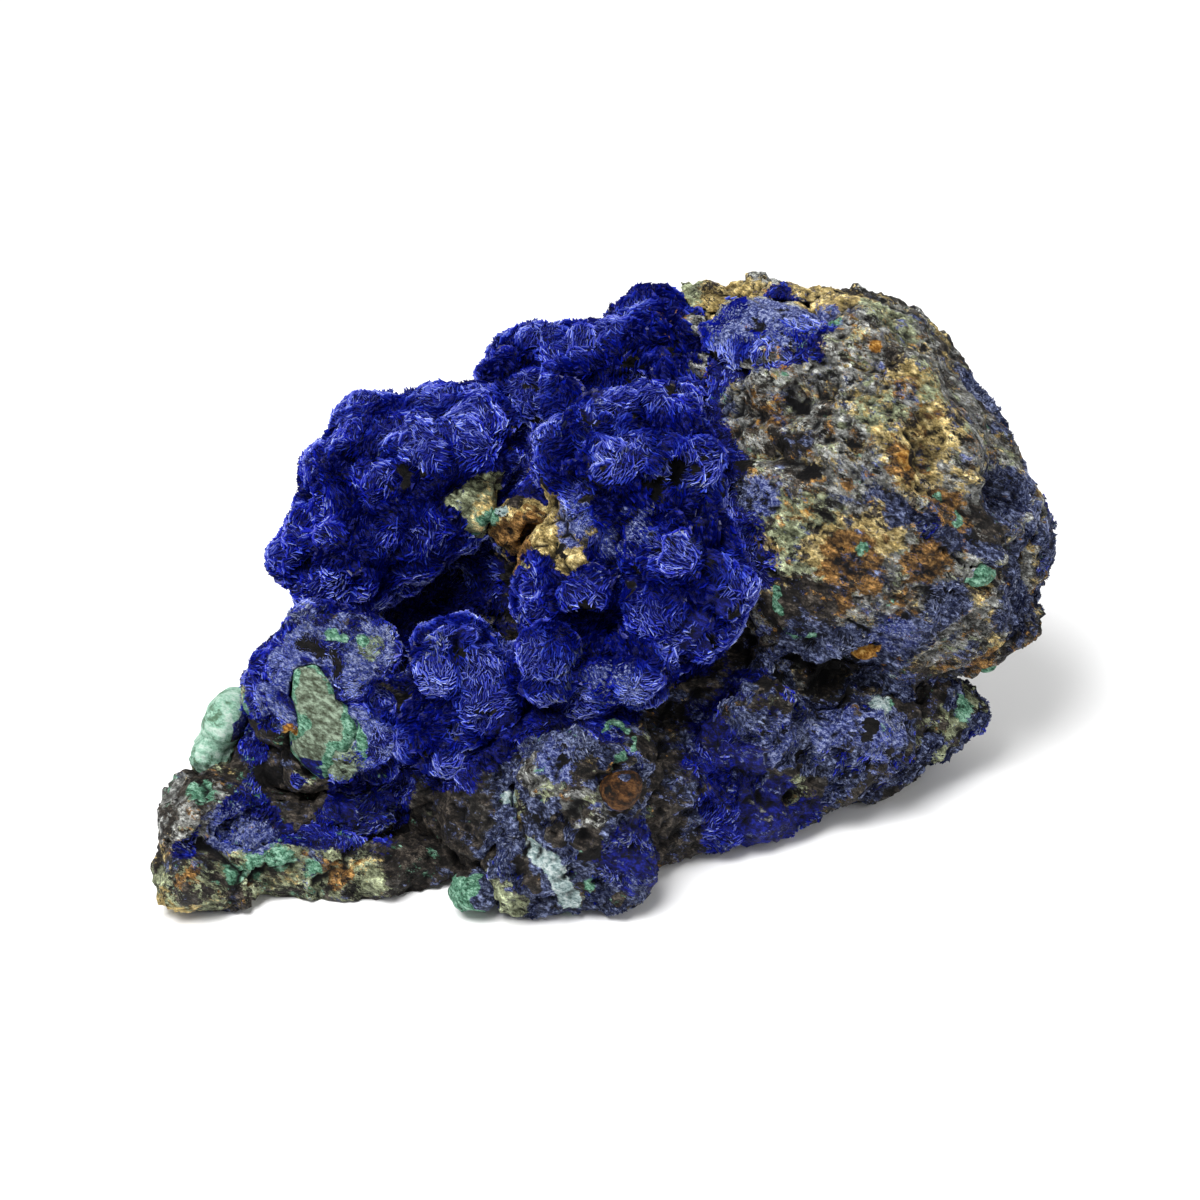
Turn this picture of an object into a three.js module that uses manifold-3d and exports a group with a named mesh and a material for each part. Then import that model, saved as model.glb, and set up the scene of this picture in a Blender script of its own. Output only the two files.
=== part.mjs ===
// An azurite specimen: a block of iron-stained gossan with cushions of azurite rosettes grown on it, and
// a few lumps of malachite and limonite. Millimetres, +Z up, front towards -Y, standing on z = 0.
//
// Every body starts as an icosphere. Its vertices are pushed out from the body's centre to where a ray
// last leaves the body's lumps, which are plain ellipsoids, and are then roughened with noise. The rock
// is cut out around whatever sits in it, so each growth and each nodule is a closed solid of its own,
// rooted in a pocket of the rock.

import * as THREE from "three";
import { mergeVertices } from "three/addons/utils/BufferGeometryUtils.js";
import { SimplexNoise } from "three/addons/math/SimplexNoise.js";
import Module from "manifold-3d";

const wasm = await Module();
wasm.setup();

// ---- driving dimensions ----

const GAP = 0.4; // clearance between a body and the pocket it sits in
const ROSETTE_RADIUS = 8; // one azurite rosette
const ROSETTE_SPACING = 13; // from one rosette to the next
const ROSETTE_SINK = 3; // how far a rosette's centre lies below its lobe's surface
const SMALLEST_ROSETTE = 0.85; // least and greatest radius, as a share of ROSETTE_RADIUS
const LARGEST_ROSETTE = 1.15;
const CELL_SHARE = 0.87; // area of a hexagonal cell, as a share of the spacing squared
const SWALLOWED = 0.85; // a rosette whose centre lies within this share of another lobe is left out
const ROCK_ROUGHNESS = 0.07; // share of its distance from the centre by which a surface wanders
const AZURITE_ROUGHNESS = 0.03;
const CHIP_ROUGHNESS = 0.06;
const NOISE_LENGTH = 16; // from one rise of the noise to the next
const BLOCK_DEPTH = 90; // thickness of the blocks that cut the flat faces
const BLOCK_SIZE = 400;

// A lump is { at: centre, size: half sizes, turn: degrees about Z }. A cut is a flat face: a point on it
// and the way it faces. A body's detail is how often each edge of its icosphere is split.
const ROCK = [
  {
    centre: [24, 24, 40],
    detail: 6,
    cuts: [
      { at: [0, 46, 40], facing: [-0.1, 1, 0.25] }, // back
      { at: [-48, 34, 30], facing: [-0.7, 0.75, 0.1] }, // back left
      { at: [72, 42, 50], facing: [0.75, 0.65, 0.15] }, // back right
      { at: [71, 14, 74], facing: [0.8, -0.1, 0.6] }, // upper right
      { at: [48, 30, 93], facing: [0.15, 0.1, 1] }, // top
      { at: [52, -13, 44], facing: [0.05, -1, 0.15] }, // front of the boulder
    ],
    lumps: [
      { at: [46, 22, 50], size: [36, 38, 42] }, // boulder
      { at: [66, 18, 45], size: [21, 26, 25] }, // its right shoulder
      { at: [76, 20, 36], size: [12, 20, 15] }, // its lower right corner
      { at: [40, 30, 76], size: [27, 22, 19] }, // its crown
      { at: [25, 36, 84], size: [12, 10, 11] }, // knob behind the crown's azurite
      { at: [2, 26, 40], size: [38, 28, 38] }, // middle
      { at: [-36, 24, 34], size: [24, 22, 30], turn: 10 }, // left shoulder, under the dome
      { at: [-18, 28, 34], size: [38, 22, 32] }, // between the two
      { at: [-12, 2, 56], size: [9, 9, 9] }, // spur between dome and ridge
      { at: [28, -2, 18], size: [30, 20, 24], turn: 20 }, // lower right flank
      { at: [50, 10, 14], size: [21, 26, 19] }, // right foot
    ],
  },
  {
    centre: [-58, -22, 9],
    detail: 3,
    lumps: [
      { at: [-58, -12, 14], size: [15, 20, 18], turn: -20 }, // left flank
      { at: [-74, -32, 12], size: [9, 11, 11] }, // dark shoulder of the tail
      { at: [-50, -32, 4], size: [30, 10, 9], turn: 4 }, // tail
      { at: [-75, -41, 5], size: [9, 8, 8] }, // toe
    ],
  },
  {
    centre: [-16, -14, 12],
    detail: 3,
    lumps: [
      { at: [-8, -24, 14], size: [26, 20, 22] }, // foot
      { at: [-30, -4, 12], size: [30, 24, 16] }, // floor of the cavity
      { at: [13, -19, 11], size: [15, 15, 14] }, // between the foot and the bench
    ],
  },
];

// The break across the broken lobe, which lays its core bare.
const BROKEN_FACE = { at: [-50, -31, 36], facing: [0.1, -0.95, 0.3] };

// Nodules and splinters set in the rock or in a growth: malachite or limonite.
const CHIPS = {
  lobe_core: {
    mineral: "malachite",
    centre: [-52, -28, 33],
    cuts: [BROKEN_FACE],
    detail: 2,
    lumps: [
      { at: [-53, -29, 40], size: [4, 4, 7] },
      { at: [-51, -29, 29], size: [7, 4, 9] },
    ],
  },
  malachite_slab: {
    mineral: "malachite",
    centre: [-71, -20, 25],
    detail: 2,
    lumps: [
      { at: [-70, -19, 28], size: [3.5, 7, 6], turn: -15 },
      { at: [-73, -22, 21], size: [3, 6, 5], turn: -15 },
    ],
  },
  malachite_nodule: {
    mineral: "malachite",
    centre: [-23, -44, 5],
    detail: 1,
    lumps: [{ at: [-23, -44, 5], size: [4.5, 3.5, 3.5] }],
  },
  malachite_splinter: {
    mineral: "malachite",
    centre: [71, -7, 51],
    detail: 1,
    lumps: [{ at: [71, -7, 51], size: [3, 1.5, 1.8], turn: 30 }],
  },
  malachite_curl: {
    mineral: "malachite",
    centre: [75, 2.5, 28],
    detail: 1,
    lumps: [{ at: [75, 2.5, 28], size: [1.8, 1.6, 3.4], turn: 20 }],
  },
  limonite_nodule: {
    mineral: "limonite",
    centre: [3.5, -44.2, 27],
    detail: 1,
    lumps: [{ at: [3.5, -44.2, 27], size: [3.4, 3.4, 3.4] }],
  },
  limonite_grain: {
    mineral: "limonite",
    centre: [51, -11, 37],
    detail: 1,
    lumps: [{ at: [51, -11, 37], size: [2.8, 1.5, 1.8] }],
  },
};

// Azurite growths, each one body or several that have grown together. A studded one is covered with
// rosettes where it stands out of the rock; the others are smooth botryoids or massive crusts. Each is
// cut off flat at its root, inside the rock.
const GROWTHS = {
  azurite_dome: [
    {
      centre: [-38, 11, 58],
      cuts: [{ at: [-37, 20, 52], facing: [0, 0.6, -0.8] }],
      detail: 5,
      studded: true,
      lumps: [
        { at: [-37, 12, 60], size: [17, 15, 15] },
        { at: [-48, 5, 50], size: [11, 11, 11] },
        { at: [-26, 14, 65], size: [10, 11, 10] },
      ],
    },
  ],
  azurite_ridge: [
    {
      centre: [3, 26, 76],
      cuts: [{ at: [3, 26, 71], facing: [0, 0, -1] }],
      detail: 4,
      studded: true,
      lumps: [
        { at: [-8, 24, 73], size: [14, 14, 10] },
        { at: [14, 28, 78], size: [15, 15, 12] },
      ],
    },
    {
      centre: [8, -2, 61],
      cuts: [{ at: [8, 1, 60], facing: [-0.1, 0.9, -0.4] }],
      detail: 5,
      studded: true,
      lumps: [
        { at: [6, 2, 68], size: [15, 14, 14] },
        { at: [12, -12, 54], size: [11, 10, 14] },
        { at: [-4, -10, 52], size: [9, 8, 8] },
      ],
    },
  ],
  azurite_front_cluster: [
    {
      centre: [-21, -23, 35],
      cuts: [{ at: [-22, -22, 25], facing: [0, 0.6, -0.8] }],
      detail: 3,
      lumps: [
        { at: [-27, -22, 41], size: [9, 9, 9] },
        { at: [-20, -24, 34], size: [9, 9, 8] },
        { at: [-29, -27, 29], size: [10, 9, 7] },
      ],
    },
    {
      centre: [-2, -23, 40],
      cuts: [{ at: [-2, -20, 32], facing: [0, 0.7, -0.7] }],
      detail: 3,
      lumps: [
        { at: [-9, -27, 45], size: [6, 6, 8] },
        { at: [5, -24, 42], size: [10, 9, 7] },
        { at: [-8, -20, 36], size: [16, 8, 8] },
      ],
    },
  ],
  azurite_broken_lobe: [
    {
      centre: [-52, -24, 34],
      cuts: [{ at: [-54, -18, 24], facing: [0, 0.6, -0.8] }, BROKEN_FACE],
      detail: 4,
      lumps: [
        { at: [-50, -24, 46], size: [9, 9, 8] },
        { at: [-57, -23, 36], size: [9, 9, 11] },
        { at: [-43, -25, 46], size: [6, 6, 7] },
        { at: [-46, -26, 27], size: [9, 8, 10] },
        { at: [-56, -24, 22], size: [8, 8, 8] },
      ],
    },
  ],
  azurite_bench: [
    {
      centre: [42, -8, 16],
      cuts: [{ at: [42, -10, 16], facing: [-0.5, 0.87, 0] }],
      detail: 4,
      lumps: [
        { at: [27, -17, 23], size: [14, 9, 15] },
        { at: [44, -9, 16], size: [18, 12, 13] },
        { at: [62, 3, 15], size: [15, 11, 11] },
        { at: [30, -19, 8], size: [14, 7, 9] },
      ],
    },
  ],
  azurite_foot: [
    {
      centre: [-4, -38, 14],
      cuts: [{ at: [-4, -37, 14], facing: [0, 1, 0] }],
      detail: 3,
      lumps: [
        { at: [-4, -38.5, 22], size: [13, 8.5, 16] },
        { at: [-12, -42, 7], size: [12, 8, 9] },
        { at: [2, -39, 7], size: [9, 8, 10] },
      ],
    },
  ],
  azurite_tail_crust: [
    {
      centre: [-57, -27, 12],
      cuts: [{ at: [-57, -28, 8], facing: [0, 0.3, -1] }],
      detail: 2,
      lumps: [
        { at: [-65, -31, 11], size: [12, 8, 5] },
        { at: [-46, -26, 12], size: [15, 9, 5] },
      ],
    },
  ],
  azurite_edge_crust: [
    {
      centre: [83, 16, 46],
      cuts: [{ at: [80, 18, 46], facing: [-1, 0, 0] }],
      detail: 2,
      lumps: [{ at: [82, 16, 46], size: [6, 12, 14] }],
    },
  ],
  azurite_crown_patch: [
    {
      centre: [32, 21, 89],
      cuts: [{ at: [32, 21, 86], facing: [0, 0.2, -1] }],
      detail: 2,
      lumps: [{ at: [32, 20, 88], size: [12, 12, 6] }],
    },
  ],
};

// ---- shapes ----

function seededRandom(seed) {
  let state = seed;
  return () => {
    state = (state + 0x6d2b79f5) | 0;
    let t = Math.imul(state ^ (state >>> 15), 1 | state);
    t = (t + Math.imul(t ^ (t >>> 7), 61 | t)) ^ t;
    return ((t ^ (t >>> 14)) >>> 0) / 4294967296;
  };
}

const noise = new SimplexNoise({ random: seededRandom(7) });

function solidFrom(geometry) {
  geometry.deleteAttribute("normal");
  geometry.deleteAttribute("uv");
  const merged = mergeVertices(geometry, 1e-4);
  return new wasm.Manifold(
    new wasm.Mesh({
      numProp: 3,
      vertProperties: merged.attributes.position.array,
      triVerts: new Uint32Array(merged.index.array),
    }),
  );
}

// The block of empty space beyond a flat face, moved outward by a margin.
function blockBeyond({ at, facing }, margin = 0) {
  const block = new THREE.BoxGeometry(BLOCK_SIZE, BLOCK_SIZE, BLOCK_DEPTH);
  block.translate(0, 0, BLOCK_DEPTH / 2 + margin);
  const normal = new THREE.Vector3(...facing).normalize();
  block.applyQuaternion(new THREE.Quaternion().setFromUnitVectors(new THREE.Vector3(0, 0, 1), normal));
  return solidFrom(block.translate(...at));
}

// A vector in a lump's own frame, where the lump is a unit sphere.
function inLump(vector, { size, turn = 0 }) {
  const spin = new THREE.Euler(0, 0, -THREE.MathUtils.degToRad(turn));
  return vector.clone().applyEuler(spin).divide(new THREE.Vector3(...size));
}

// How far along a ray from a point the ray last leaves a lump; 0 where it misses.
function exitDistance(from, direction, lump) {
  const d = inLump(direction, lump);
  const o = inLump(from.clone().sub(new THREE.Vector3(...lump.at)), lump);
  const a = d.dot(d);
  const b = o.dot(d);
  const root = b * b - a * (o.dot(o) - 1);
  return root > 0 ? (Math.sqrt(root) - b) / a : 0;
}

// An icosphere pushed out to its lumps, roughened, cut off at its flat faces, and grown by a margin.
function blownOut({ centre, detail, lumps, cuts = [] }, roughness, margin) {
  const geometry = new THREE.IcosahedronGeometry(1, detail);
  const points = geometry.attributes.position;
  const from = new THREE.Vector3(...centre);
  const direction = new THREE.Vector3();
  const surface = new THREE.Vector3();
  for (let i = 0; i < points.count; i++) {
    direction.fromBufferAttribute(points, i).normalize();
    const reach = Math.max(...lumps.map((lump) => exitDistance(from, direction, lump)));
    surface.copy(direction).multiplyScalar(reach).add(from).divideScalar(NOISE_LENGTH);
    const wander =
      noise.noise3d(surface.x, surface.y, surface.z) +
      0.5 * noise.noise3d(surface.y * 2, surface.z * 2, surface.x * 2);
    surface.copy(direction).multiplyScalar(reach * (1 + roughness * wander) + margin).add(from);
    points.setXYZ(i, surface.x, surface.y, surface.z);
  }
  return cuts.reduce((solid, cut) => solid.subtract(blockBeyond(cut, margin)), solidFrom(geometry));
}

// Whether a point lies inside a lump scaled to a share of its size.
function isInside(point, lump, share) {
  const p = inLump(new THREE.Vector3(...point).sub(new THREE.Vector3(...lump.at)), lump);
  return p.length() < share;
}

// Rosettes laid over a body's lumps in golden-angle spirals, wherever they stand clear of the rock and
// of the body's other lumps.
function rosettesOn(lumps, random) {
  const golden = Math.PI * (3 - Math.sqrt(5));
  const rosettes = [];
  for (const lump of lumps) {
    const [a, b, c] = lump.size;
    const area = (4 * Math.PI * (a * b + b * c + c * a)) / 3;
    const count = Math.round(area / (CELL_SHARE * ROSETTE_SPACING ** 2));
    for (let i = 0; i < count; i++) {
      const z = 1 - (2 * i + 1) / count;
      const ring = Math.sqrt(1 - z * z);
      const angle = golden * i + 0.5 * random();
      const at = [
        lump.at[0] + Math.cos(angle) * ring * (a - ROSETTE_SINK),
        lump.at[1] + Math.sin(angle) * ring * (b - ROSETTE_SINK),
        lump.at[2] + z * (c - ROSETTE_SINK),
      ];
      const radius = ROSETTE_RADIUS * THREE.MathUtils.lerp(SMALLEST_ROSETTE, LARGEST_ROSETTE, random());
      const inRock = ROCK.some((body) => body.lumps.some((rock) => isInside(at, rock, 1)));
      const inLobe = lumps.some((other) => other !== lump && isInside(at, other, SWALLOWED));
      if (!inRock && !inLobe && at[2] > radius) rosettes.push({ at, size: [radius, radius, radius] });
    }
  }
  return rosettes;
}

// ---- build ----

const union = (solids) => wasm.Manifold.union(solids);
const largest = (solid) => solid.decompose().sort((a, b) => b.volume() - a.volume())[0];
const joined = (bodies, roughness, margin = 0) =>
  union(bodies.map((body) => blownOut(body, roughness, margin)));

const minerals = {
  azurite: new THREE.MeshStandardMaterial({ name: "azurite", color: 0x1b2a9c, roughness: 0.4 }),
  malachite: new THREE.MeshStandardMaterial({ name: "malachite", color: 0x6fae8c, roughness: 0.6 }),
  limonite: new THREE.MeshStandardMaterial({ name: "limonite", color: 0x9a5a24, roughness: 0.8 }),
  matrix: new THREE.MeshStandardMaterial({ name: "matrix", color: 0x4a3b30, roughness: 0.85 }),
};

const specimen = new THREE.Group();

function addPiece(name, solid, material) {
  const mesh = solid.getMesh();
  const geometry = new THREE.BufferGeometry();
  geometry.setAttribute("position", new THREE.BufferAttribute(mesh.vertProperties, 3));
  geometry.setIndex(new THREE.BufferAttribute(mesh.triVerts, 1));
  geometry.computeVertexNormals();
  const piece = new THREE.Mesh(geometry, material);
  piece.name = name;
  specimen.add(piece);
}

const random = seededRandom(11);
const ground = blockBeyond({ at: [0, 0, 0], facing: [0, 0, -1] });
const pockets = [];
for (const [name, chip] of Object.entries(CHIPS)) {
  addPiece(name, blownOut(chip, CHIP_ROUGHNESS, 0), minerals[chip.mineral]);
  pockets.push(blownOut(chip, CHIP_ROUGHNESS, GAP));
}
for (const [name, bodies] of Object.entries(GROWTHS)) {
  const grown = bodies.map((body) =>
    body.studded ? { ...body, lumps: [...body.lumps, ...rosettesOn(body.lumps, random)] } : body,
  );
  const solid = joined(grown, AZURITE_ROUGHNESS).subtract(union([ground, ...pockets]));
  addPiece(name, largest(solid), minerals.azurite);
  pockets.push(joined(grown, AZURITE_ROUGHNESS, GAP));
}
const matrix = joined(ROCK, ROCK_ROUGHNESS).subtract(union([ground, ...pockets]));
addPiece("matrix", largest(matrix), minerals.matrix);

// The origin is the middle of the specimen's footprint box, at the level it stands on.
const middle = new THREE.Box3().setFromObject(specimen).getCenter(new THREE.Vector3());
specimen.position.set(-middle.x, -middle.y, 0);

export default specimen;
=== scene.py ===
"""An azurite specimen: lobes of deep-blue blades, malachite and limonite grown on a rough dark rock."""

from collections import namedtuple
from itertools import product

import bmesh
import bpy
import numpy as np
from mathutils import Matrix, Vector
from mathutils.bvhtree import BVHTree


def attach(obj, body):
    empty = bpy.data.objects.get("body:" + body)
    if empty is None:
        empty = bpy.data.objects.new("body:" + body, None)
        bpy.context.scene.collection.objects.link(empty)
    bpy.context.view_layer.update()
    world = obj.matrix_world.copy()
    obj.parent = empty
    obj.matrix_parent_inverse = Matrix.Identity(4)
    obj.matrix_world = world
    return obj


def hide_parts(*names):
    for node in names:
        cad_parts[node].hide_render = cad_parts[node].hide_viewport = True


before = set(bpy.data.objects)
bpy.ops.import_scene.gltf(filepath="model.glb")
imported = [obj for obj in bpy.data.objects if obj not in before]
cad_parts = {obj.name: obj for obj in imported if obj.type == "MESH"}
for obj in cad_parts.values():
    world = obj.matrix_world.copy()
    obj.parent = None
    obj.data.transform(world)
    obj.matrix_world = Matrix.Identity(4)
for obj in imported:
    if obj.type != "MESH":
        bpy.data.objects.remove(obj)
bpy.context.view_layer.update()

# Every length in this script is in millimetres, and is turned into metres where a mesh is written.
MM = 0.001
SEED = 7

# ---------------- camera and light

CAMERA_TARGET = Vector((-3.7, -2.3, 42)) * MM
CAMERA_DISTANCE = 545 * MM
CAMERA_ELEVATION = 30
LENS = 85
SENSOR = 36
NEAREST_SEEN = 10 * MM

# name: (where it stands round the object, size, power in watts)
LAMPS = {
    "key": ((-200, -260, 620), 380, 7.3),
    "fill": ((480, -300, 300), 500, 1.0),
    "back": ((60, 480, 420), 420, 1.6),
}
WORLD_STRENGTH = 0.29
FLOOR_SIZE = 4000 * MM
FLOOR_MOTTLING = 300


def linked(name, data):
    """A new object in the scene."""
    thing = bpy.data.objects.new(name, data)
    bpy.context.scene.collection.objects.link(thing)
    return thing


def aim(thing, place, target):
    thing.location = place
    thing.rotation_euler = (Vector(target) - Vector(place)).to_track_quat("-Z", "Y").to_euler()


def set_camera():
    camera = linked("camera", bpy.data.cameras.new("camera"))
    camera.data.lens = LENS
    camera.data.sensor_width = SENSOR
    camera.data.clip_start = NEAREST_SEEN
    angle = np.radians(CAMERA_ELEVATION)
    away = Vector((0, -np.cos(angle), np.sin(angle))) * CAMERA_DISTANCE
    aim(camera, CAMERA_TARGET + away, CAMERA_TARGET)
    bpy.context.scene.camera = camera


def set_light():
    for name, (place, size, power) in LAMPS.items():
        lamp = linked(name, bpy.data.lights.new(name, "AREA"))
        lamp.data.size = size * MM
        lamp.data.energy = power
        aim(lamp, Vector(place) * MM, CAMERA_TARGET)

    world = bpy.data.worlds.new("studio")
    world.use_nodes = True
    world.node_tree.nodes["Background"].inputs["Color"].default_value = (1, 1, 1, 1)
    world.node_tree.nodes["Background"].inputs["Strength"].default_value = WORLD_STRENGTH
    bpy.context.scene.world = world
    bpy.context.scene.view_settings.view_transform = "Standard"


def set_floor():
    half = FLOOR_SIZE / 2
    mesh = bpy.data.meshes.new("floor")
    corners = [(-half, -half, 0), (half, -half, 0), (half, half, 0), (-half, half, 0)]
    mesh.from_pydata(corners, [], [(0, 1, 2, 3)])
    look = Shades("pale_floor")
    mottling = look.noise(FLOOR_MOTTLING, detail=2)
    look.set("Base Color", look.ramp(mottling, (0, (250, 250, 250)), (1, (254, 254, 254))))
    look.set("Roughness", 0.9)
    mesh.materials.append(look.material)
    linked("floor", mesh)


# ---------------- noise over points

LATTICE = 512  # how many directions and places the noise draws from, a power of two
SEED_SHIFT = 0.37  # how far apart the noises of two seeds start
NOISE_GAIN = 1.7  # brings the noise to about -1 to 1
OCTAVES = 3


def lattice(seed):
    """The numbers of the lattice in a shuffled order, a direction for each and a place for each."""
    draw = np.random.RandomState(seed)
    directions = draw.normal(size=(LATTICE, 3))
    directions /= np.linalg.norm(directions, axis=1)[:, None]
    return draw.permutation(LATTICE), directions, draw.random_sample((LATTICE, 3))


def corner_numbers(cell, order):
    number = order[cell[:, 0] & (LATTICE - 1)]
    number = order[(number + cell[:, 1]) & (LATTICE - 1)]
    return order[(number + cell[:, 2]) & (LATTICE - 1)]


def noise(points, size, seed):
    """Smooth gradient noise of about -1 to 1, whose waves are about size long."""
    order, directions, _ = lattice(SEED + seed)
    points = points / size + SEED_SHIFT * seed
    cell = np.floor(points).astype(int)
    part = points - cell
    ease = part ** 3 * (part * (part * 6 - 15) + 10)
    total = np.zeros(len(points))
    for corner in product((0, 1), repeat=3):
        corner = np.array(corner)
        slope = directions[corner_numbers(cell + corner, order)]
        weight = np.prod(np.where(corner, ease, 1 - ease), axis=1)
        total += weight * np.sum(slope * (part - corner), axis=1)
    return total * NOISE_GAIN


def rough_noise(points, size, seed):
    """Noise with finer noise on it: each octave is half as long and half as strong as the last."""
    shares = [0.5 ** octave for octave in range(OCTAVES)]
    return sum(share * noise(points, size * share, seed + 11 * k) for k, share in enumerate(shares))


def cells(points, size, seed):
    """The scattered cells that the points are in: distance to the nearest centre and to the second
    nearest, in cells, the nearest one's number, and the way from its centre."""
    order, _, places = lattice(SEED + seed)
    points = points / size
    base = np.floor(points).astype(int)
    nearest = np.full(len(points), np.inf)
    second = nearest.copy()
    number = np.zeros(len(points), int)
    way = np.zeros((len(points), 3))
    for corner in product((-1, 0, 1), repeat=3):
        cell = base + corner
        found = corner_numbers(cell, order)
        apart = points - (cell + places[found])
        distance = np.linalg.norm(apart, axis=1)
        closer = distance < nearest
        second = np.where(closer, nearest, np.minimum(second, distance))
        nearest = np.where(closer, distance, nearest)
        number = np.where(closer, found, number)
        way[closer] = apart[closer]
    return nearest, second, number, way


def smooth(start, end, value):
    """An eased step from 0 at the start to 1 at the end, which may be the lower of the two."""
    share = np.clip((value - start) / (end - start), 0, 1)
    return share * share * (3 - 2 * share)


def unit(vectors):
    return vectors / np.maximum(np.linalg.norm(vectors, axis=1), 1e-9)[:, None]


def direction(x, y, z):
    return np.array((x, y, z)) / np.linalg.norm((x, y, z))


def bent(points, size, strength, seed):
    """The points moved about by noise, so that cells made from them aren't round."""
    return points + strength * np.stack([noise(points, size, seed + axis) for axis in range(3)], axis=1)


# ---------------- what grows where

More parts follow.
